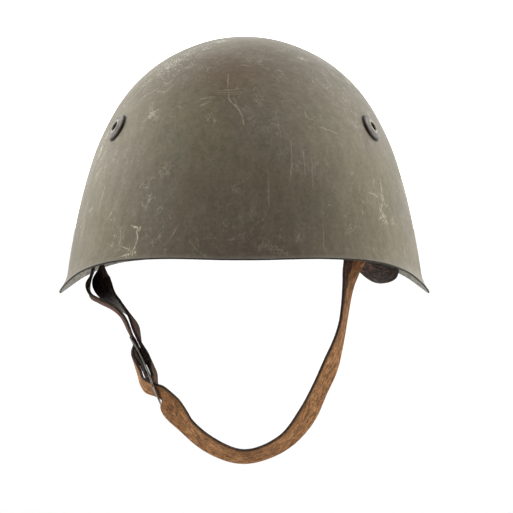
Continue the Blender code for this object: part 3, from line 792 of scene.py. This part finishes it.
for a, less in steps:
    side = SLIDER_WIDTH / 2 - less
    depth = SLIDER_BEND * ((a / half_long) ** 2 - 1)
    inside = min(slot_half, side - SLIDER_CORNER / 6)
    rows.append([bm.verts.new((x, a, depth)) for x in (-side, -inside, -inside / 3, inside / 3, inside, side)])
for (low, _), (high, _), below, above in zip(steps, steps[1:], rows, rows[1:]):
    for i in range(5):
        if i in (0, 4) or not mid_edge < abs(low + high) / 2 < top_edge:
            bm.faces.new((below[i], below[i + 1], above[i + 1], above[i]))
plate = bpy.data.meshes.new("slider_plate")
bm.to_mesh(plate)
bm.free()
slider = add("slider_plate", plate)
sheet(slider, SLIDER_THICK, 0.0)
rounded(slider, 0.00022, 2, 50.0)
slider.matrix_world = slider_pose
slider = fixed(slider)
smooth(slider, 40.0)

# Strap: leather with its rough tan side out and dark cut edges
places = [Vector(r[0:3]) * 0.001 for r in ROUTE]
keys = [0.0]
for a, b in zip(places, places[1:]):
    keys.append(keys[-1] + (b - a).length)
line = [(k, *p, *r[3:6]) for k, p, r in zip(keys, places, ROUTE)]
count = round(keys[-1] / 0.0008)
stations = [keys[-1] * i / count for i in range(count + 1)]
w, t = STRAP_WIDTH / 2, STRAP_THICK / 2
soft = t * 0.5
cut = soft * 0.3
section = [(w * (1 - k / 4) * (1 - soft / w), t, 1.0) for k in range(9)]
section += [(-w + cut, t - cut, 0.8), (-w, t - soft, 0.6), (-w, 0.0, 0.5)]
section += [(-w, -t + soft, 0.4), (-w + cut, -t + cut, 0.2)]
section += [(-w * (1 - k / 4) * (1 - soft / w), -t, 0.0) for k in range(9)]
section += [(w - cut, -t + cut, 0.2), (w, -t + soft, 0.4), (w, 0.0, 0.5), (w, t - soft, 0.6), (w - cut, t - cut, 0.8)]
SLIDER_ROW, BOW_END_ROW = 24, 39  # rows of the route: below the slider, and where the bow ends
# painted shade on the strap: where the looped end's darkening starts and how it fades, and the wedge on the front edge
# of the other end
SHADE_LOWEST, SHADE_FADE = -0.1565, 0.011
WEDGE_FROM, WEDGE_TOP, WEDGE_TALL = 0.05, -0.084, 0.044
rings, sides, overs, alongs, strap_shades = [], [], [], [], []
for s in stations:
    here = between(line, s)
    place, edge = Vector(here[0:3]), Vector(here[3:6])
    ahead_of = between(line, min(s + STRAP_THICK / 9, keys[-1]))
    behind_of = between(line, max(s - STRAP_THICK / 9, 0.0))
    along = (Vector(ahead_of[0:3]) - Vector(behind_of[0:3])).normalized()
    edge = (edge - along * edge.dot(along)).normalized()
    dark = along.cross(edge)
    ring = []
    for x, y, tan in section:
        # the cut edges wander a little and the cut face is rough
        rim = abs(x) / w
        wander = 0.00018 * noise.noise(Vector((s * 90, 3.0 if x > 0 else 9.0, 0))) + 0.00006 * noise.noise(
            Vector((s * 700, y * 900, 5.0 if x > 0 else 2.0))
        )
        ring.append(place + edge * (x + math.copysign(wander * rim**6, x)) - dark * y)
        sides.append(tan)
        overs.append(x / w)
        alongs.append(s)
        # painted shade: the looped end is darkened above the slider, where it hangs in the shell's shadow, and so is
        # the front edge of the other end below the rim, which faces in away from the light
        if place.x < 0 and s > keys[SLIDER_ROW]:
            strap_shade = (place.z - SHADE_LOWEST) / SHADE_FADE + 0.25 * noise.noise(Vector((s * 200, x * 300, 0)))
            strap_shade = 1.0 if s > keys[BOW_END_ROW] else min(max(strap_shade, 0.0), 1.0)
        else:
            limit = 0.05 + 0.95 * min(max((WEDGE_TOP - place.z) / WEDGE_TALL, 0.0), 1.3)
            strap_shade = min(max((x / w - limit) / 0.16 + 0.5, 0.0), 1.0) if place.x > WEDGE_FROM else 0.0
        strap_shades.append(strap_shade)
    rings.append(ring)
size = len(section)
faces = [
    (r * size + i, (r + 1) * size + i, (r + 1) * size + (i + 1) % size, r * size + (i + 1) % size)
    for r in range(len(rings) - 1)
    for i in range(size)
]
faces += [tuple(range(size)), tuple(reversed(range((len(rings) - 1) * size, len(rings) * size)))]
mesh = bpy.data.meshes.new("strap_leather")
mesh.from_pydata([tuple(p) for ring in rings for p in ring], [], faces)
floats(mesh, "tan_side", sides)
floats(mesh, "across", overs)
floats(mesh, "along", alongs)
floats(mesh, "painted_shade", strap_shades)
bm = bmesh.new()
bm.from_mesh(mesh)
bmesh.ops.recalc_face_normals(bm, faces=bm.faces)
bm.to_mesh(mesh)
bm.free()
strap = add("strap_leather", mesh)
smooth(strap, 60.0)


# Materials
def stroke_mask(n):
    """1 along the strokes, from the values that lay_strokes gave the mesh."""
    mask = None
    for k in range(LAYERS):
        wander = n.band(n.noise(260.0, 3.0, 0.6), 0.2, 0.8, -1.0, 1.0)
        off = n.maths("ABSOLUTE", n.maths("ADD", n.attribute(f"stroke_off_{k}"), wander))
        here = n.maths("MULTIPLY", n.band(off, 1.0, 0.35), n.attribute(f"stroke_near_{k}"))
        mask = here if mask is None else n.maths("MAXIMUM", mask, here)
    return mask


def helmet_paint(name):
    n = Nodes(name)
    above, inside = n.attribute("above_edge"), n.attribute("inside")
    cloudy = n.noise(8.0, 5.0, 0.6)
    patchy = n.noise(24.0, 6.0, 0.62, twist=0.4)
    streaky = n.noise(150.0, 5.0, 0.6, where=n.stretched((1.0, 1.0, 0.10)))
    fine = n.noise(420.0, 4.0, 0.6)
    grain = n.noise(1400.0, 2.0, 0.5)
    olive, brown = (0.238, 0.207, 0.134), (0.200, 0.144, 0.090)
    green, violet = (0.216, 0.207, 0.144), (0.222, 0.188, 0.142)
    colour = n.mix(n.band(cloudy, 0.42, 0.60), olive, violet)
    colour = n.mix(n.maths("MULTIPLY", n.band(patchy, 0.50, 0.70), 0.7), colour, green)
    colour = n.mix(n.maths("MULTIPLY", n.near((-0.008, -0.082, 0.036), 0.060), 0.9), colour, brown)
    # lighter patches on both sides of the front: partly dust, partly painted light where the sides face the lamps
    for place, radius in (((-0.078, -0.085, -0.008), 0.085), ((0.060, -0.100, 0.012), 0.075)):
        colour = n.mix(n.maths("MULTIPLY", n.near(place, radius), 0.70), colour, (0.330, 0.295, 0.215))
    # painted shade: darker low on the brow's centre, which faces away from the lamps
    colour = n.mix(n.maths("MULTIPLY", n.near((0.0, -0.130, -0.085), 0.105), 0.95), colour, (0.132, 0.102, 0.080))
    colour = n.shade(colour, n.band(streaky, 0.25, 0.75, 0.90, 1.10))
    colour = n.shade(colour, n.band(fine, 0.2, 0.8, 0.86, 1.14))
    smudge = n.noise(70.0, 6.0, 0.72, where=n.stretched((1.0, 1.0, 0.55), move=(5.0, 2.0, 1.0)))
    colour = n.mix(n.band(smudge, 0.50, 0.72, 0.0, 0.42), colour, (0.300, 0.272, 0.200))

    # where the paint is worn, from named scuffs and a little everywhere
    worn = n.band(n.noise(17.0, 4.0, 0.6), 0.44, 0.72, 0.04, 0.50)
    for place, radius, most in (
        ((-0.052, -0.048, 0.044), 0.062, 0.80),
        ((-0.100, -0.060, -0.010), 0.060, 0.62),
        ((0.070, -0.060, 0.020), 0.065, 0.45),
    ):
        worn = n.maths("MAXIMUM", worn, n.maths("MULTIPLY", n.near(place, radius), most))
    worn = n.maths("MAXIMUM", worn, n.attribute("scuffed"))
    shaken = n.new("ShaderNodeVectorMath", operation="MULTIPLY_ADD")
    n.put(shaken.inputs[0], n.noise(240.0, 3.0, 0.6, colour=True))
    n.put(shaken.inputs[1], (0.0022, 0.0022, 0.0022))
    n.put(shaken.inputs[2], n.where)
    shaken = shaken.outputs[0]
    chips = n.noise(900.0, 3.0, 0.65, where=n.stretched((1.0, 1.0, 0.55), turn=(0, 38, 20)))
    limit = n.maths("MULTIPLY_ADD", worn, -0.27, 0.775)
    chips = n.band(n.maths("SUBTRACT", chips, limit), 0.0, 0.045)
    # thin scratches: the edges of stretched cells, kept where the paint is worn
    lines = n.voronoi(260.0, "DISTANCE_TO_EDGE", where=n.stretched((1.0, 1.0, 0.42), shaken, turn=(0, -40, 25)))
    lines = n.band(lines, 0.045, 0.010)
    more = n.voronoi(210.0, "DISTANCE_TO_EDGE", where=n.stretched((0.40, 1.0, 1.0), shaken, turn=(0, 35, -10)))
    lines = n.maths("MAXIMUM", lines, n.band(more, 0.035, 0.008))
    lines = n.maths("MULTIPLY", lines, n.band(n.noise(130.0, 3.0, 0.6), 0.48, 0.62))
    lines = n.maths("MULTIPLY", lines, n.maths("MULTIPLY", worn, 0.95))
    hair = n.noise(46.0, 2.0, 0.5, where=n.stretched((1.0, 1.0, 0.22), shaken))
    hair = n.band(n.maths("ABSOLUTE", n.maths("SUBTRACT", hair, 0.5)), 0.0045, 0.0)
    hair = n.maths("MULTIPLY", hair, n.band(n.noise(60.0, 3.0, 0.6), 0.46, 0.62, 0.0, 0.42))
    strokes = stroke_mask(n)
    strokes = n.maths("MULTIPLY", strokes, n.band(n.noise(500.0, 3.0, 0.7), 0.36, 0.58, 0.35, 1.0))
    bare = n.maths("MAXIMUM", n.maths("MAXIMUM", chips, lines), n.maths("MAXIMUM", hair, strokes))
    dulled = n.mix(n.maths("MULTIPLY", worn, 0.35), colour, (0.255, 0.230, 0.170))
    colour = n.mix(bare, dulled, (0.66, 0.60, 0.46))

    # dark pits beside the chips, rust low down, and painted shadow on the shell below each rivet head
    pits = n.band(n.noise(760.0, 3.0, 0.6, where=n.stretched((1.0, 1.0, 1.0), move=(3.0, 1.0, 2.0))), 0.66, 0.74)
    colour = n.mix(n.maths("MULTIPLY", pits, n.band(worn, 0.15, 0.8, 0.10, 0.75)), colour, (0.050, 0.042, 0.030))
    rust = n.maths("MULTIPLY", n.band(n.noise(95.0, 5.0, 0.65), 0.54, 0.70), n.band(above, 0.016, 0.001, 0.0, 0.55))
    colour = n.mix(rust, colour, (0.175, 0.105, 0.048))
    # painted shadow under each rivet head, only on its lower front side
    ring = None
    for pose in RIVET_SEATS.values():
        out = n.vector("SUBTRACT", n.where, tuple(pose.translation))
        away = n.vector("LENGTH", out)
        low = n.band(n.vector("DOT_PRODUCT", out, (0.0, -0.62, -0.78)), -0.001, 0.006)
        rivet_shadow = n.maths("MULTIPLY", n.band(away, 0.0106, 0.0093), low)
        ring = rivet_shadow if ring is None else n.maths("MAXIMUM", ring, rivet_shadow)
    colour = n.mix(n.maths("MULTIPLY", ring, 0.94), colour, (0.016, 0.014, 0.010))

    # the sheet's lower edge: a pale rubbed line, then painted shade on the cut, which faces down
    rubbed = n.maths("MULTIPLY", n.band(above, 0.0030, 0.0009), n.band(patchy, 0.36, 0.60, 0.15, 0.60))
    colour = n.mix(rubbed, colour, (0.30, 0.27, 0.22))
    cut = n.band(above, 0.00075, 0.00025)
    colour = n.mix(n.maths("MULTIPLY", cut, 0.93), colour, (0.018, 0.016, 0.013))

    # inside: paint rubbed thin along the flare, darker and plainer above it
    brushed = n.noise(520.0, 4.0, 0.65, where=n.stretched((1.0, 0.35, 1.0), turn=(0, 0, 0)))
    flare = n.mix(n.band(brushed, 0.35, 0.68), (0.17, 0.15, 0.115), (0.44, 0.41, 0.34))
    dark = n.mix(n.band(patchy, 0.4, 0.7), (0.120, 0.108, 0.080), (0.090, 0.074, 0.054))
    lining = n.mix(n.band(above, 0.030, 0.010), dark, flare)
    # painted shade on the down-facing cut, on the inside too
    lining = n.mix(n.maths("MULTIPLY", cut, 0.85), lining, (0.03, 0.026, 0.020))
    colour = n.mix(inside, colour, lining)

    height = n.maths("ADD", n.maths("MULTIPLY", fine, 0.6), n.maths("MULTIPLY", grain, 0.4))
    height = n.maths("SUBTRACT", height, n.maths("MULTIPLY", bare, 0.8))
    height = n.maths("SUBTRACT", height, n.maths("MULTIPLY", pits, n.maths("MULTIPLY", worn, 0.8)))
    normal = n.bump(height, 0.16, 0.0006)
    rough = n.maths("SUBTRACT", n.band(patchy, 0.3, 0.7, 0.47, 0.60), n.maths("MULTIPLY", bare, 0.12))
    n.put(n.shader.inputs["Specular IOR Level"], 0.12)
    return n.finish(colour, rough, normal=normal)


def rivet_paint_of(name):
    n = Nodes(name)
    from_axis, off = n.attribute("from_axis"), n.attribute("off_shell")
    patchy = n.noise(160.0, 5.0, 0.65)
    fine = n.noise(900.0, 4.0, 0.6)
    colour = n.mix(n.band(patchy, 0.38, 0.62), (0.165, 0.138, 0.108), (0.105, 0.084, 0.066))
    colour = n.shade(colour, n.band(fine, 0.25, 0.75, 0.80, 1.22))
    tube = RIVET_TUBE / 2
    lip = n.maths("MULTIPLY", n.band(from_axis, tube + 0.0012, tube + 0.0001), n.band(off, 0.0012, 0.0018))
    lip = n.maths("MULTIPLY", lip, n.band(n.noise(420.0, 4.0, 0.65), 0.36, 0.56, 0.45, 1.0))
    colour = n.mix(lip, colour, (0.50, 0.455, 0.37))
    # painted shade on the head's side wall, all round
    side = n.band(off, 0.00125, 0.0007)
    colour = n.mix(n.maths("MULTIPLY", side, 0.93), colour, (0.022, 0.018, 0.013))
    # painted shade down inside the bore
    hole = n.band(from_axis, RIVET_BORE / 2 + 0.0005, RIVET_BORE / 2 + 0.0001)
    colour = n.mix(n.maths("MULTIPLY", hole, n.band(off, 0.0024, 0.0016)), colour, (0.020, 0.017, 0.013))
    height = n.maths("ADD", n.maths("MULTIPLY", fine, 0.6), n.maths("MULTIPLY", patchy, 0.6))
    return n.finish(colour, n.band(patchy, 0.3, 0.7, 0.42, 0.58), normal=n.bump(height, 0.30, 0.0006))


def steel(name):
    n = Nodes(name)
    patchy = n.noise(60.0, 6.0, 0.6)
    fine = n.noise(700.0, 3.0, 0.6)
    colour = n.mix(n.band(patchy, 0.42, 0.66), (0.40, 0.39, 0.37), (0.24, 0.21, 0.18))
    colour = n.shade(colour, n.band(fine, 0.25, 0.75, 0.85, 1.12))
    return n.finish(colour, n.band(patchy, 0.3, 0.7, 0.30, 0.50), metallic=0.9, normal=n.bump(fine, 0.15, 0.0004))


def leather(name):
    n = Nodes(name)
    tan_side, over, along = n.attribute("tan_side"), n.attribute("across"), n.attribute("along")
    place = n.new("ShaderNodeCombineXYZ")
    n.put(place.inputs[0], along)
    n.put(place.inputs[1], n.maths("MULTIPLY", over, STRAP_WIDTH / 2))
    n.put(place.inputs[2], n.maths("MULTIPLY", tan_side, 0.01))
    place = place.outputs[0]
    cloudy = n.noise(70.0, 5.0, 0.6)
    fibre = n.noise(1100.0, 4.0, 0.65, where=n.stretched((0.45, 1.0, 1.0), place))
    nap = n.noise(520.0, 6.0, 0.8, where=n.stretched((0.42, 1.0, 1.0), place))
    pits = n.noise(620.0, 3.0, 0.6)
    moved = n.stretched((0.5, 1.0, 1.0), place, move=(2.0, 0.0, 0.0))
    holes = n.band(n.noise(760.0, 3.0, 0.65, where=moved), 0.56, 0.66)
    tan = n.mix(n.band(cloudy, 0.35, 0.65), (0.45, 0.225, 0.092), (0.31, 0.142, 0.056))
    tan = n.shade(tan, n.band(nap, 0.38, 0.62, 0.56, 1.40))
    tan = n.shade(tan, n.band(fibre, 0.25, 0.75, 0.66, 1.28))
    # painted shade along the upper cut edge, joined with dark pits in the nap
    upper_edge_shade = n.band(n.maths("MULTIPLY_ADD", nap, 0.5, over), 0.98, 1.26, 0.0, 0.75)
    tan = n.mix(n.maths("MAXIMUM", n.maths("MULTIPLY", holes, 0.72), upper_edge_shade), tan, (0.075, 0.034, 0.018))
    # painted shade on the looped end and on the front edge of the other end
    strap_shade = n.band(n.maths("MULTIPLY_ADD", nap, 0.5, n.maths("SUBTRACT", n.attribute("painted_shade"), 0.25)), 0.30, 0.72)
    shaded_tan = n.mix(n.band(nap, 0.44, 0.66), (0.072, 0.036, 0.024), (0.250, 0.115, 0.068))
    tan = n.mix(strap_shade, tan, shaded_tan)
    # the smooth side is dark with fine creases across it and a reddish rub on their tops, partly worn leather and
    # partly painted highlight
    crease = n.noise(260.0, 3.0, 0.6, where=n.stretched((0.30, 1.0, 1.0), place), twist=1.2)
    rubbed = n.maths("MULTIPLY", n.band(crease, 0.53, 0.62), n.band(pits, 0.40, 0.58, 0.20, 1.0))
    dark = n.mix(n.band(pits, 0.35, 0.7), (0.038, 0.027, 0.023), (0.078, 0.048, 0.038))
    dark = n.mix(n.maths("MULTIPLY", rubbed, 0.85), dark, (0.300, 0.140, 0.100))
    edge = n.noise(900.0, 3.0, 0.7)
    colour = n.mix(n.band(n.maths("MULTIPLY_ADD", edge, 0.24, tan_side), 0.72, 0.98), dark, tan)
    height = n.maths("ADD", n.maths("MULTIPLY", fibre, 0.5), n.maths("MULTIPLY", pits, 0.2))
    height = n.maths("MULTIPLY_ADD", nap, 0.6, height)
    creased = n.maths("MULTIPLY", crease, n.band(tan_side, 0.45, 0.30, 0.3, 2.6))
    n.put(n.shader.inputs["Specular IOR Level"], 0.30)
    normal = n.bump(n.maths("ADD", height, creased), 0.6, 0.0009)
    return n.finish(colour, n.band(tan_side, 0.4, 0.9, 0.46, 0.92), normal=normal)


paint = helmet_paint("worn_helmet_paint")
rivet_paint = rivet_paint_of("worn_rivet_paint")
dull_steel = steel("dull_steel_worn")
strap_leather = leather("tan_strap_leather")

for piece, node, slot, material in (
    (shell, "shell", "helmet_paint", paint),
    (rivets[0], "vent_rivet_left", "rivet_paint", rivet_paint),
    (rivets[1], "vent_rivet_right", "rivet_paint", rivet_paint),
    (rivets[2], "vent_rivet_rear", "rivet_paint", rivet_paint),
    (hoop, "liner_band", "dull_steel", dull_steel),
    (bails[0], "bail_left", "dull_steel", dull_steel),
    (bails[1], "bail_right", "dull_steel", dull_steel),
    (slider, "strap_slider", "dull_steel", dull_steel),
    (strap, "chin_strap", "leather", strap_leather),
):
    piece.data.materials.clear()
    piece.data.materials.append(material)
    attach(piece, "root")
    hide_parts(node)

# Floor, light and camera
mesh = bpy.data.meshes.new("floor")
mesh.from_pydata([(-6, -0.9, 0), (6, -0.9, 0), (6, 4.6, 0), (-6, 4.6, 0)], [], [(0, 1, 2, 3)])
floor = add("floor", mesh)
floor.location = (0, 0, -0.50)
n = Nodes("pale_floor")
mesh.materials.append(n.finish(n.mix(n.noise(1.5), (0.91, 0.91, 0.91), (0.94, 0.94, 0.94)), 0.9))

world = bpy.data.worlds.new("studio")
bpy.context.scene.world = world
world.use_nodes = True
tree = world.node_tree
back = tree.nodes["Background"]
coordinate = tree.nodes.new("ShaderNodeTexCoord")
parts = tree.nodes.new("ShaderNodeSeparateXYZ")
tree.links.new(coordinate.outputs["Generated"], parts.inputs[0])
shares = []
for source, values in (
    (parts.outputs["Y"], (-0.85, -0.20, FRONT_DIM, BACK_BRIGHT)),
    (parts.outputs["Z"], (0.25, 0.95, 1.0, TOP_SHARE)),
):
    ramp = tree.nodes.new("ShaderNodeMapRange")
    ramp.interpolation_type = "SMOOTHSTEP"
    for key, value in zip(("From Min", "From Max", "To Min", "To Max"), values):
        ramp.inputs[key].default_value = value
    tree.links.new(source, ramp.inputs["Value"])
    shares.append(ramp.outputs[0])
light = shares[0]
for share in shares[1:]:
    joined = tree.nodes.new("ShaderNodeMath")
    joined.operation = "MULTIPLY"
    tree.links.new(light, joined.inputs[0])
    tree.links.new(share, joined.inputs[1])
    light = joined.outputs[0]
tree.links.new(light, back.inputs["Strength"])
back.inputs["Color"].default_value = (1.0, 1.0, 1.0, 1.0)


def soft_light(name, place, towards, size, power):
    light = bpy.data.lights.new(name, "AREA")
    light.shape = "RECTANGLE"
    light.size, light.size_y = size
    light.energy = power
    lamp = bpy.data.objects.new(name, light)
    turned = (Vector(towards) - Vector(place)).to_track_quat("-Z", "Y").to_matrix().to_4x4()
    lamp.matrix_world = Matrix.Translation(place) @ turned
    bpy.context.scene.collection.objects.link(lamp)


soft_light("backdrop_light", (0.0, 3.1, 1.9), (0.0, 3.1, -0.5), (6.0, 3.4), 34.0)

# The camera is in front of the brow, just above the crown's height, and looks slightly down
eye = Vector((0.0080, -1.6111, 0.0802))
look = Vector((0.0, 0.99452, -0.10453))
camera = bpy.data.objects.new("camera", bpy.data.cameras.new("camera"))
camera.data.lens = 170.3
camera.data.sensor_width = 36.0
camera.data.clip_start = 0.05
camera.matrix_world = axes(eye, Vector((1, 0, 0)), Vector((1, 0, 0)).cross(look), -look)
bpy.context.scene.collection.objects.link(camera)
bpy.context.scene.camera = camera
bpy.context.scene.view_settings.view_transform = "Standard"
